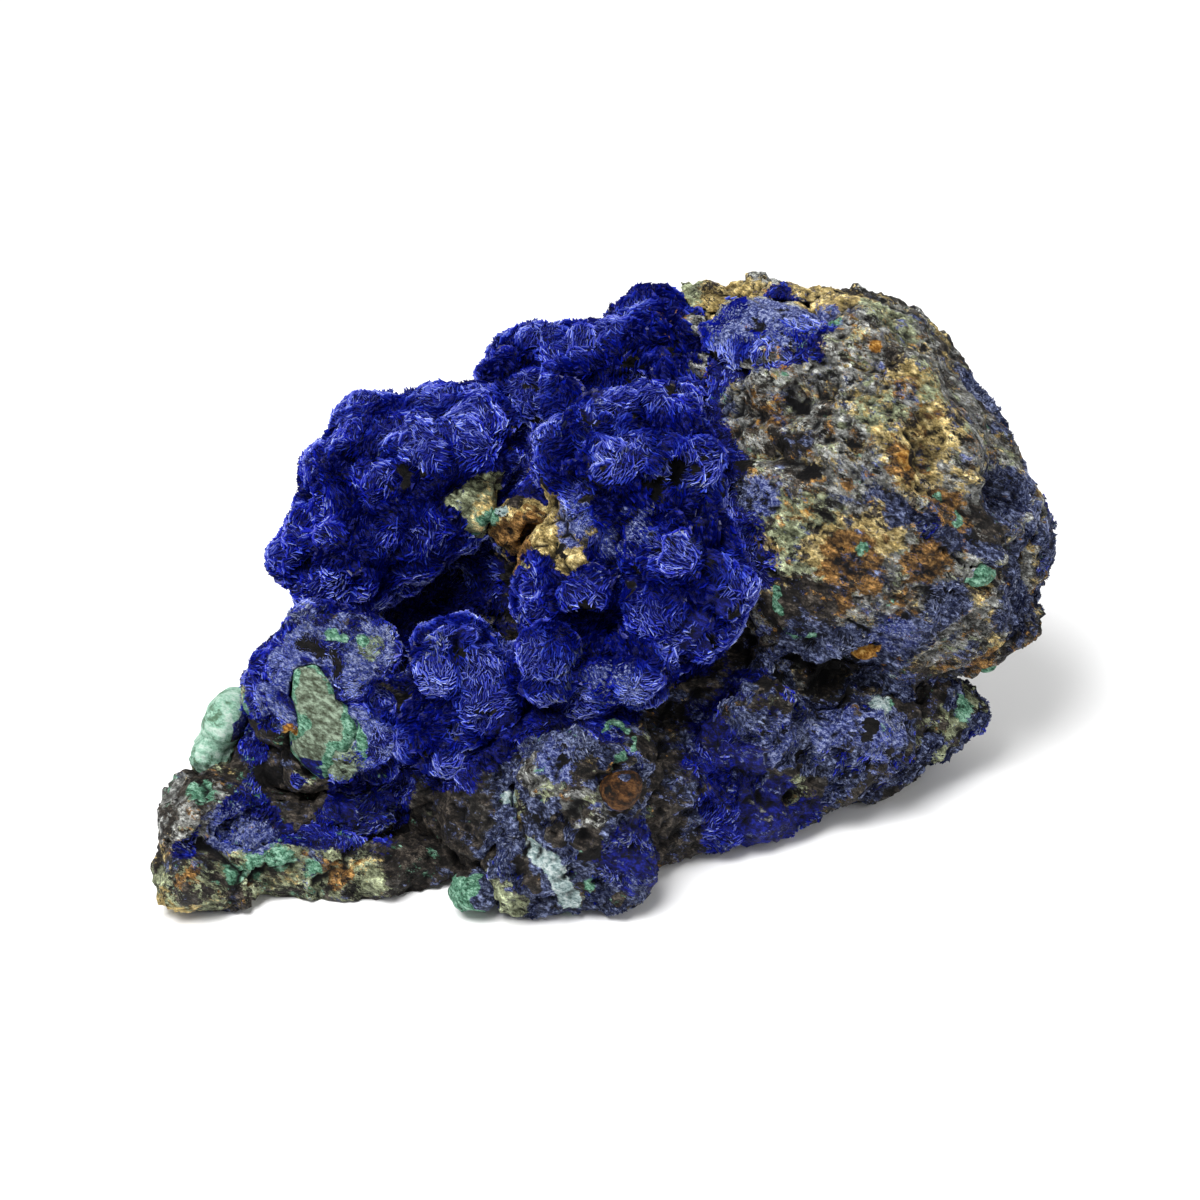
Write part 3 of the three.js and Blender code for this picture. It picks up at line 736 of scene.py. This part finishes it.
chip_heights = stone(0.35, (facets, 4.2, 31, 0.22), (noise, 3, 32, 0.25), (noise, 1.2, 33, 0.15))
slab_heights = stone(0.35, (facets, 5, 31, 0.12), (noise, 5, 32, 0.15), (noise, 1.2, 33, 0.12))
flat_heights = stone(0, (noise, 4, 37, 0.25), (noise, 1.4, 38, 0.08))
nodule_heights = stone(0, (warts, 2.2, 34, 0.4), (noise, 4, 35, 0.4), (noise, 1.3, 36, 0.2))


# How each growth differs. relax: more rounds for a smooth crust than for a heap of lobes. size and
# spacing: of its blades. pale and dull: how light and how grey they are. cover: below 1 they leave gaps.
Style = namedtuple("Style", "base heights relax size spacing pale dull cover")
STYLES = {
    "azurite_dome": Style("azurite", azurite_heights, 12, 0.85, 0.55, -0.06, 0.0, 1),
    "azurite_ridge": Style("azurite", azurite_heights, 14, 0.9, 0.55, 0.0, 0.0, 1),
    "azurite_front_cluster": Style("azurite", azurite_heights, 10, 0.85, 0.52, 0.1, 0.12, 1),
    "azurite_broken_lobe": Style("azurite", azurite_heights, 8, 0.7, 0.5, 0.0, 0.2, 0.9),
    "azurite_bench": Style("film", crust_heights, 40, 0.6, 0.5, -0.06, 0.7, 0.15),
    "azurite_foot": Style("film", crust_heights, 40, 0.5, 0.48, 0.05, 0.85, 0.1),
    "azurite_tail_crust": Style("azurite", crust_heights, 16, 0.6, 0.52, -0.12, 0.35, 0.5),
    "azurite_edge_crust": Style("film", crust_heights, 30, 0.55, 0.52, 0.1, 0.85, 0.1),
    "azurite_crown_patch": Style("azurite", crust_heights, 30, 0.8, 0.54, 0.35, 0.05, 1),
}
ROCK_RELAX = 2
AZURITE_ON_ROCK = Style("azurite", rock_heights, ROCK_RELAX, 0.6, 0.56, 0.0, 0.15, 0.8)
FILM_ON_ROCK = Style("film", rock_heights, ROCK_RELAX, 0.5, 0.56, 0.1, 0.9, 0.1)
# the fine crystals on the broken lobe's face
SUGAR = Style("frost", azurite_heights, 0, 0.45, 0.42, 0.12, 0.3, 1)

# Each chip set in the rock: its mineral, the one round its rim, its slot in the record, its surface.
CHIPS = {
    "malachite_slab": ("jade", "olive", "malachite", slab_heights),
    "malachite_nodule": ("malachite", "olive", "malachite", chip_heights),
    "malachite_splinter": ("malachite", None, "malachite", chip_heights),
    "malachite_curl": ("malachite", None, "malachite", chip_heights),
    "limonite_nodule": ("iron", "brown", "limonite", nodule_heights),
    "limonite_grain": ("limonite", None, "limonite", chip_heights),
    "lobe_core": ("core", "malachite", "malachite", flat_heights),
}


def tree_of(nodes):
    """Some CAD bodies, with the skins' pull, as one tree to probe."""
    points, faces = [], []
    for node in nodes:
        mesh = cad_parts[node].data
        start = len(points)
        points += (warped(mesh_arrays(mesh)[0]) * MM).tolist()
        faces += [[start + corner for corner in face.vertices] for face in mesh.polygons]
    return BVHTree.FromPolygons(points, faces)


solid_nodes = ["matrix"] + list(STYLES)
solid_tree = tree_of(solid_nodes)
chip_tree = tree_of(CHIPS)
skirt_trees = {
    mineral: tree_of([node for node, style in STYLES.items() if style.base == mineral])
    for mineral in SKIRT_REACH
}


# ---------------- blades

# A blade is a long crest over a short root across it. Its corners: (along, across, up).
BLADE_CORNERS = np.array([(-1, 0, 1), (1, 0, 1), (0, -1, 0), (0, 1, 0)], float)
BLADE_FACES = np.array([(0, 2, 1), (0, 1, 3), (0, 3, 2), (1, 2, 3)])
BLADE_SINK = 0.4  # how deep its root is in the skin
BLADE_LENGTH, BLADE_THICKNESS, BLADE_HEIGHT = 0.5, 0.2, 0.55  # as shares of the style's size
BLADE_TILT = 0.2  # of the crest
SHEAF_SWIRL, SHEAF_FAN = 0.5, 0.4  # how blades turn round the middle of a sheaf, and lean out from it
ALONG_JITTER, UP_JITTER = 0.16, 0.14

TRIES = 1.7  # random points for each place where a blade could stand
LOWEST_BLADE = 0.8
CHIP_CLEARANCE = 0.9
PROBE_HEIGHT = 0.5  # how far above the skin it is tested for being inside another body

Sites = namedtuple("Sites", "places normals frost azurite")


def pick(sites, which):
    return Sites(*(part[which] for part in sites))


def face_samples(mesh, per_mm2, seed):
    """Even random points on a mesh's faces, with their smooth normals and masks."""
    mesh.calc_loop_triangles()
    corners = np.empty(len(mesh.loop_triangles) * 3, int)
    mesh.loop_triangles.foreach_get("vertices", corners)
    corners = corners.reshape(-1, 3)
    points, normals = mesh_arrays(mesh)
    first, second, third = (points[corners[:, corner]] for corner in range(3))
    area = np.linalg.norm(np.cross(second - first, third - first), axis=1) / 2
    draw = np.random.RandomState(SEED + seed)
    count = int(area.sum() * per_mm2)
    face = draw.choice(len(area), count, p=area / area.sum())
    u, v = draw.random_sample((2, count))
    flip = u + v > 1
    u, v = np.where(flip, 1 - u, u), np.where(flip, 1 - v, v)
    shares = np.stack([1 - u - v, u, v], axis=1)
    place = np.einsum("ij,ijk->ik", shares, points[corners[face]])
    normal = np.einsum("ij,ijk->ik", shares, normals[corners[face]])
    masks = {mask: np.sum(shares * mask_values(mesh, mask)[corners[face]], axis=1) for mask in MASKS}
    return place, unit(normal), masks


def uncovered(sites, tree):
    """Which places, seen a little above the surface, are outside the bodies of the tree."""
    outside = np.ones(len(sites.places), bool)
    for k, probe in enumerate(((sites.places + sites.normals * PROBE_HEIGHT) * MM).tolist()):
        found, facing, _, _ = tree.find_nearest(probe)
        if found is not None and (Vector(probe) - found).dot(facing) < 0:
            outside[k] = False
    return outside


def blade_sites(skin, others, style, seed, keep):
    """Where the blades of a skin stand: one in each small cube, outside the other bodies."""
    places, normals, masks = face_samples(skin.data, TRIES / style.spacing ** 2, seed)
    frost = smooth(-0.1, 0.25, masks["frost"])
    covered = rough_noise(places, 5, 64) < style.cover
    sites = pick(Sites(places, normals, frost, masks["azurite"]),
                 keep(masks) & (places[:, 2] > LOWEST_BLADE) & covered)
    cube = np.floor(sites.places / style.spacing).astype(int)
    sites = pick(sites, np.unique(cube, axis=0, return_index=True)[1])
    sites = pick(sites, uncovered(sites, others))
    return pick(sites, distance_to(sites.places, chip_tree) > CHIP_CLEARANCE)


def blade_corners(sites, style, draw):
    """The four corners of each blade. Blades stand on edge, in sheaves that swirl round the lobes."""
    count = len(sites.places)
    _, _, number, way = cells(sites.places, SHEAF, SHEAF_SEED)
    sheaf = unit(lattice(SEED + 60)[1][number])
    swirl = SHEAF_SWIRL * np.cross(sites.normals, way)
    along = unit(sheaf + swirl + ALONG_JITTER * draw.normal(size=(count, 3)))
    up = unit(sites.normals + SHEAF_FAN * way + UP_JITTER * draw.normal(size=(count, 3)))
    along = unit(along - up * np.sum(along * up, axis=1)[:, None])
    across = np.cross(up, along)
    size = style.size * (1 - 0.3 * sites.frost)
    half_length = size * BLADE_LENGTH * (0.9 + 1.3 * draw.random_sample(count) ** 1.5)
    half_thick = size * BLADE_THICKNESS * (0.8 + 0.5 * draw.random_sample(count))
    height = size * BLADE_HEIGHT * (0.7 + 0.7 * draw.random_sample(count))
    tilt = BLADE_TILT * draw.normal(size=count) * height
    corners = np.zeros((count, len(BLADE_CORNERS), 3))
    for corner, (x, y, z) in enumerate(BLADE_CORNERS):
        rise = z * height + (x * tilt if z else -BLADE_SINK)
        corners[:, corner] = (sites.places + along * (x * half_length)[:, None]
                              + across * (y * half_thick)[:, None] + up * rise[:, None])
    corners[:, :, 2] = np.maximum(corners[:, :, 2], 0.05)
    return corners


# A blade is mostly dark, with a few painted glints. It is lighter in the middle of a lobe and darker
# towards its edge, and lighter high up, as painted light and shade; it is lighter in frost too.
SHADE_BASE, GLINT, GLINT_POWER = -0.04, 0.9, 3.5
SHADE_WAVES = [(noise, 16, 61, 0.18), (noise, 5, 62, 0.16)]
PAINTED_LOBE_LIGHT, LOBE_MIDDLE = 0.3, 0.45
FROST_SHADE, FROST_MOTTLING, FROST_GLINT = 0.2, 0.5, 0.6
PAINTED_TOP_LIGHT, TOP_LIGHT_LOW, TOP_LIGHT_HIGH = 0.14, 10, 80
CREASE_SHADE_START, CREASE_SHADE_END, PAINTED_CREASE_SHADE = 0.42, 0.75, 0.6  # painted shade: the blades' crests between the lobes are dimmer


def blade_looks(sites, style, draw):
    """Of each blade: its shade, 0 for deep and 1 for pale, which holds painted light and shade as well as
    its own tone, whether it is dull, and its crest's painted shade between the lobes.
    """
    places, count = sites.places, len(sites.places)
    to_lobe, _, _, _ = cells(places, LOBE, LOBE_SEED)
    # painted glints: a few blades are drawn much paler
    shade = SHADE_BASE + GLINT * draw.random_sample(count) ** GLINT_POWER + waves(places, SHADE_WAVES)
    # painted light and shade: lighter in the middle of a lobe, darker towards its edge
    shade += PAINTED_LOBE_LIGHT * (LOBE_MIDDLE - to_lobe) + style.pale
    mottling = FROST_MOTTLING * noise(places, 2.2, 66) + FROST_GLINT * draw.random_sample(count)
    shade += sites.frost * (FROST_SHADE + mottling)
    # painted light from above: blades are lighter the higher they stand
    shade += PAINTED_TOP_LIGHT * smooth(TOP_LIGHT_LOW, TOP_LIGHT_HIGH, places[:, 2])
    dull = 0.5 * noise(places, 12, 63) + 0.5 * draw.random_sample(count) + 0.25 < style.dull
    if style.base == "film":
        dull &= (sites.azurite < 0.05) | (draw.random_sample(count) < 0.5)
    return np.clip(shade, 0.02, 0.98), dull, 1 - PAINTED_CREASE_SHADE * smooth(CREASE_SHADE_START, CREASE_SHADE_END, to_lobe)


def add_blades(name, skin, others, style, seed, keep):
    """Thin blades all over a skin, as one mesh. Its map holds each blade's look for the material."""
    sites = blade_sites(skin, others, style, seed, keep)
    draw = np.random.RandomState(SEED + seed + 1)
    corners = blade_corners(sites, style, draw)
    shade, dull, light = blade_looks(sites, style, draw)
    first = len(BLADE_CORNERS) * np.arange(len(corners))
    faces = (BLADE_FACES[None] + first[:, None, None]).reshape(-1, 3)
    mesh = bpy.data.meshes.new(name)
    mesh.from_pydata((corners.reshape(-1, 3) * MM).tolist(), [], faces.tolist())
    blade, corner = np.divmod(faces.ravel(), len(BLADE_CORNERS))
    across = (shade / 2 + dull / 2)[blade]
    # painted shade: in the creases between lobes the crests take a lower, darker stop of the ramps
    up = 0.05 + 0.9 * BLADE_CORNERS[corner, 2] * light[blade]
    mesh.uv_layers.new(name="OFBake").data.foreach_set("uv", np.stack([across, up], axis=1).ravel())
    mesh.shade_flat()
    finish_piece(linked(name, mesh), blade_look, "azurite")


# ---------------- materials

def linear(colour):
    """A colour of 0 to 255 as the linear numbers a shader takes."""
    share = np.array(colour, float) / 255
    return tuple(np.where(share < 0.04045, share / 12.92, ((share + 0.055) / 1.055) ** 2.4)) + (1.0,)


class Shades:
    """A material's nodes, one short call for each."""

    def __init__(self, name):
        self.material = bpy.data.materials.new(name)
        self.material.use_nodes = True
        self.nodes = self.material.node_tree.nodes
        self.links = self.material.node_tree.links
        self.shader = self.nodes["Principled BSDF"]
        self.place = self.nodes.new("ShaderNodeTexCoord").outputs["Object"]

    def put(self, socket, value):
        if isinstance(value, bpy.types.NodeSocket):
            self.links.new(value, socket)
        elif isinstance(value, tuple) and len(value) == 3:
            socket.default_value = linear(value)
        else:
            socket.default_value = value

    def set(self, name, value):
        self.put(self.shader.inputs[name], value)

    def streak(self, way, pull):
        """Draws the patterns out along a direction."""
        dot, along, rest = (self.nodes.new("ShaderNodeVectorMath") for _ in range(3))
        dot.operation, along.operation, rest.operation = "DOT_PRODUCT", "SCALE", "SUBTRACT"
        self.put(dot.inputs[0], self.place)
        dot.inputs[1].default_value = way
        along.inputs[0].default_value = pull * way
        self.put(along.inputs["Scale"], dot.outputs["Value"])
        self.put(rest.inputs[0], self.place)
        self.put(rest.inputs[1], along.outputs[0])
        self.place = rest.outputs[0]

    def noise(self, size, detail, rough=0.6, shift=0.0):
        """Noise of 0 to 1 about 0.5. Each shift gives another pattern."""
        node = self.nodes.new("ShaderNodeTexNoise")
        node.noise_dimensions = "4D"
        self.put(node.inputs["Vector"], self.place)
        settings = {"Scale": 1 / (size * MM), "Detail": detail, "Roughness": rough, "W": shift}
        for name, value in settings.items():
            node.inputs[name].default_value = value
        return node.outputs["Fac"]

    def ramp(self, value, *stops):
        node = self.nodes.new("ShaderNodeValToRGB")
        while len(node.color_ramp.elements) < len(stops):
            node.color_ramp.elements.new(0.5)
        for element, (place, colour) in zip(node.color_ramp.elements, stops):
            element.position = place
            element.color = linear(colour)
        self.put(node.inputs["Fac"], value)
        return node.outputs["Color"]

    def math(self, operation, *values):
        node = self.nodes.new("ShaderNodeMath")
        node.operation = operation
        for socket, value in zip(node.inputs, values):
            self.put(socket, value)
        return node.outputs[0]

    def step(self, value, low, high):
        node = self.nodes.new("ShaderNodeMapRange")
        node.interpolation_type = "SMOOTHSTEP"
        self.put(node.inputs["Value"], value)
        node.inputs["From Min"].default_value = low
        node.inputs["From Max"].default_value = high
        return node.outputs["Result"]

    def mix(self, share, under, over, blend="MIX"):
        node = self.nodes.new("ShaderNodeMix")
        node.data_type = "RGBA"
        node.blend_type = blend
        self.put(node.inputs["Factor"], share)
        self.put(node.inputs[6], under)
        self.put(node.inputs[7], over)
        return node.outputs[2]

    def attribute(self, name):
        node = self.nodes.new("ShaderNodeAttribute")
        node.attribute_name = name
        return node.outputs["Fac"]

    def bump(self, height, distance, strength, under=None):
        node = self.nodes.new("ShaderNodeBump")
        node.inputs["Strength"].default_value = strength
        node.inputs["Distance"].default_value = distance * MM
        self.put(node.inputs["Height"], height)
        if under is not None:
            self.put(node.inputs["Normal"], under)
        return node.outputs["Normal"]


# Each mineral on the skin: the size of its mottling and its colours, from its darkest to its lightest.
# They are laid one over the other in this order.
MINERALS = {
    "slate": (1.5, (26, 26, 25), (106, 107, 104), (196, 198, 196)),
    "olive": (1.3, (48, 51, 33), (120, 126, 98), (188, 196, 164)),
    "tan": (1.2, (52, 42, 18), (158, 138, 86), (230, 212, 158)),
    "rust": (1.0, (26, 15, 6), (104, 74, 38), (190, 146, 86)),
    "brown": (1.3, (7, 6, 5), (34, 30, 27), (92, 84, 76)),
    "film": (0.8, (6, 8, 22), (36, 43, 74), (120, 130, 164)),
    "azurite": (0.9, (1, 2, 24), (6, 10, 84), (30, 42, 160)),
    "frost": (0.6, (10, 16, 70), (64, 78, 148), (178, 188, 226)),
    "core": (0.9, (62, 66, 50), (112, 126, 106), (172, 192, 168)),
    "jade": (1.4, (98, 132, 104), (164, 216, 190), (224, 246, 232)),
    "malachite": (0.8, (30, 64, 46), (90, 148, 118), (176, 220, 196)),
    "powder": (0.6, (84, 110, 110), (172, 196, 196), (236, 244, 242)),
    "iron": (1.6, (10, 6, 3), (64, 39, 17), (126, 86, 48)),
    "limonite": (0.8, (96, 54, 10), (180, 122, 44), (226, 184, 104)),
    "dark": (1.0, (2, 2, 2), (8, 7, 8), (28, 24, 22)),
}
# the rock between the minerals
BARE_ROCK_SIZE = 1.8
BARE_ROCK = ((0.32, (6, 6, 6)), (0.5, (34, 32, 30)), (0.66, (96, 92, 88)))
FINE, FINER = (7, 0.8), (7, 0.78)  # detail and roughness of a noise
SHADE_SHIFT = 20.0
STONE_SPREAD, GROWTH_SPREAD = 0.13, 0.09  # how far the noise goes from 0.5 to the outer colours
EDGE_SIZE, EDGE_GAIN, EDGE_SHIFT = 1.9, 2.6, 3.0  # the noise that makes the minerals' edges ragged
EDGE_START, EDGE_END = -0.04, 0.06
CRUMB_SIZE, CRUMB_SHIFT = 0.75, 51.0
LIGHT_CRUMB, DARK_CRUMB = 0.62, 0.38
WEAR_AND_HIGHLIGHT_START, WEAR_AND_HIGHLIGHT_END = 0.05, -0.7  # of the dip, which is below 0 on a crest; crests are made lighter, as wear and as a painted highlight
LIGHTER, DARKER = (1.75, 1.75, 1.72, 1.0), (0.22, 0.21, 0.21, 1.0)
# dips are darkened towards near-black: dirt, and painted shade in the hollows
DIRT_AND_SHADE, DIRT_AND_SHADE_START, DIRT_AND_SHADE_END = (3, 3, 6), 0.06, 1.0
ROUGH_SIZE, ROUGH_SHIFT, ROUGHEST, SMOOTHEST = 0.9, 50.0, 0.8, 0.5
CREST_SIZE, CREST_SHIFT, CREST_GAIN = 2.6, 52.0, 4.0
SKIN_GLOSS, BLADE_GLOSS, BLADE_ROUGHNESS = 0.2, 0.2, 0.36


def skin_material():
    look = Shades("mineral_skin")
    look.streak(STREAK_DIRECTION, STREAK_COLOUR_PULL)
    colour = look.ramp(look.noise(BARE_ROCK_SIZE, 6, 0.7), *BARE_ROCK)
    crumbs = look.noise(CRUMB_SIZE, *FINER, CRUMB_SHIFT)
    dip = look.attribute("dip")
    for k, (mineral, (size, low, middle, high)) in enumerate(MINERALS.items()):
        edge = look.noise(EDGE_SIZE, *FINE, EDGE_SHIFT + k)
        edge = look.math("MULTIPLY_ADD", edge, EDGE_GAIN, -EDGE_GAIN / 2)
        inside = look.step(look.math("ADD", look.attribute(mineral), edge), EDGE_START, EDGE_END)
        spread = STONE_SPREAD if mineral in STONES else GROWTH_SPREAD
        mottling = look.noise(size, *FINE, SHADE_SHIFT + k)
        shade = look.ramp(mottling, (0.5 - spread, low), (0.5, middle), (0.5 + spread, high))
        if mineral == "azurite":  # what is laid down so far is stone and film: crests made lighter, as wear and as a painted highlight, and a coarse grain
            colour = look.mix(look.step(dip, WEAR_AND_HIGHLIGHT_START, WEAR_AND_HIGHLIGHT_END), colour, LIGHTER, "MULTIPLY")
            colour = look.mix(look.step(crumbs, 0.5, LIGHT_CRUMB), colour, LIGHTER, "MULTIPLY")
            colour = look.mix(look.step(crumbs, 0.5, DARK_CRUMB), colour, DARKER, "MULTIPLY")
        colour = look.mix(inside, colour, shade)
    # painted shade with dirt: the deeper the dip, the nearer the colour comes to near-black
    look.set("Base Color", look.mix(look.step(dip, DIRT_AND_SHADE_START, DIRT_AND_SHADE_END), colour, DIRT_AND_SHADE))
    look.set("Specular IOR Level", SKIN_GLOSS)
    roughness = look.noise(ROUGH_SIZE, 3, shift=ROUGH_SHIFT)
    look.set("Roughness", look.math("MULTIPLY_ADD", roughness, ROUGHEST - SMOOTHEST, SMOOTHEST))
    off_crest = look.math("SUBTRACT", look.noise(CREST_SIZE, 5, 0.6, CREST_SHIFT), 0.5)
    off_crest = look.math("ABSOLUTE", off_crest)
    crests = look.bump(look.math("MULTIPLY_ADD", off_crest, -CREST_GAIN, 1.0), 0.6, 0.8)
    look.set("Normal", look.bump(crumbs, 1.5, 0.9, under=crests))
    return look.material


# A blade's colours from its root to its crest: deep and pale vivid ones, and deep and pale dull ones. Each
# runs from painted shade at the root, between the blades, to a painted highlight at the crest.
DEEP = (0.05, (0, 1, 8)), (0.5, (0, 4, 72)), (0.8, (2, 12, 140)), (0.95, (18, 34, 190))
PALE = (0.05, (2, 6, 60)), (0.5, (10, 26, 160)), (0.8, (84, 108, 218)), (0.95, (212, 222, 248))
MURKY = (0.05, (1, 2, 12)), (0.5, (9, 13, 38)), (0.8, (29, 37, 80)), (0.95, (62, 72, 118))
MISTY = (0.05, (8, 10, 36)), (0.5, (56, 64, 100)), (0.75, (120, 130, 160)), (0.95, (188, 194, 212))


def blade_material():
    """The shade of each blade is across its map, its height up its map. The left half of the map is for
    vivid blades, the right half for dull ones."""
    look = Shades("azurite_blades")
    node = look.nodes.new("ShaderNodeUVMap")
    node.uv_map = "OFBake"
    split = look.nodes.new("ShaderNodeSeparateXYZ")
    look.put(split.inputs[0], node.outputs[0])
    shade, height = split.outputs[0], split.outputs[1]
    vivid = look.mix(look.math("MULTIPLY", shade, 2.0), look.ramp(height, *DEEP), look.ramp(height, *PALE))
    dull = look.mix(look.math("MULTIPLY_ADD", shade, 2.0, -1.0),
                    look.ramp(height, *MURKY), look.ramp(height, *MISTY))
    look.set("Base Color", look.mix(look.math("GREATER_THAN", shade, 0.5), vivid, dull))
    look.set("Roughness", BLADE_ROUGHNESS)
    look.set("Specular IOR Level", BLADE_GLOSS)
    return look.material


# ---------------- the specimen

COVERS = ("dark", "malachite", "powder", "limonite")  # what blades don't grow through
GROWN = 0.05  # how far inside a patch on the rock its blades start


def clear_of(masks, minerals, limit):
    return np.max([masks[mineral] for mineral in minerals], axis=0) < limit


def azurite_only(masks):
    return (masks["azurite"] > GROWN) & clear_of(masks, COVERS, 0)


def film_only(masks):
    return (masks["film"] > GROWN) & (masks["azurite"] <= GROWN) & clear_of(masks, COVERS, 0)


def crystal_only(masks):
    return clear_of(masks, COVERS + STONES, 0.02) & (masks["pit"] < 0.4) & (masks["broken"] < 0.5)


def sugar_only(masks):
    clear = clear_of(masks, ("malachite", "limonite") + STONES, 0.05) & (masks["dark"] < 0.6)
    return clear & (masks["broken"] > 0.5)


def make_skin(node, name, voxel, rounds, heights, base, slot, rim=None):
    """Replaces a CAD node by its skin."""
    piece = even_skin(node, name, voxel)
    relax(piece.data, rounds)
    push_out(piece.data, heights)
    add_masks(piece.data, base, rim)
    piece.data.shade_smooth()
    finish_piece(piece, skin_look, slot, node)
    return piece


ROCK_VOXEL, GROWTH_VOXEL, CHIP_VOXEL = 0.85, 0.75, 0.4
CHIP_RELAX = 3
# each piece's first seed, which the blades take two of
ROCK_AZURITE_SEED, ROCK_FILM_SEED, GROWTH_SEED, GROWTH_SEED_STEP, SUGAR_SEED = 50, 52, 70, 5, 130

set_camera()
set_light()
set_floor()
skin_look = skin_material()
blade_look = blade_material()

rock = make_skin("matrix", "matrix_rock", ROCK_VOXEL, ROCK_RELAX, rock_heights, None, "matrix")
growths = tree_of(STYLES)
add_blades("matrix_azurite", rock, growths, AZURITE_ON_ROCK, ROCK_AZURITE_SEED, azurite_only)
add_blades("matrix_film", rock, growths, FILM_ON_ROCK, ROCK_FILM_SEED, film_only)

for k, (node, style) in enumerate(STYLES.items()):
    body = make_skin(node, node + "_body", GROWTH_VOXEL, style.relax, style.heights, style.base, "azurite")
    others = tree_of([other for other in solid_nodes if other != node])
    add_blades(node + "_blades", body, others, style, GROWTH_SEED + k * GROWTH_SEED_STEP, crystal_only)
    if node == "azurite_broken_lobe":
        add_blades("broken_face_crystals", body, others, SUGAR, SUGAR_SEED, sugar_only)

for node, (base, rim, slot, heights) in CHIPS.items():
    make_skin(node, node + "_stone", CHIP_VOXEL, CHIP_RELAX, heights, base, slot, rim)
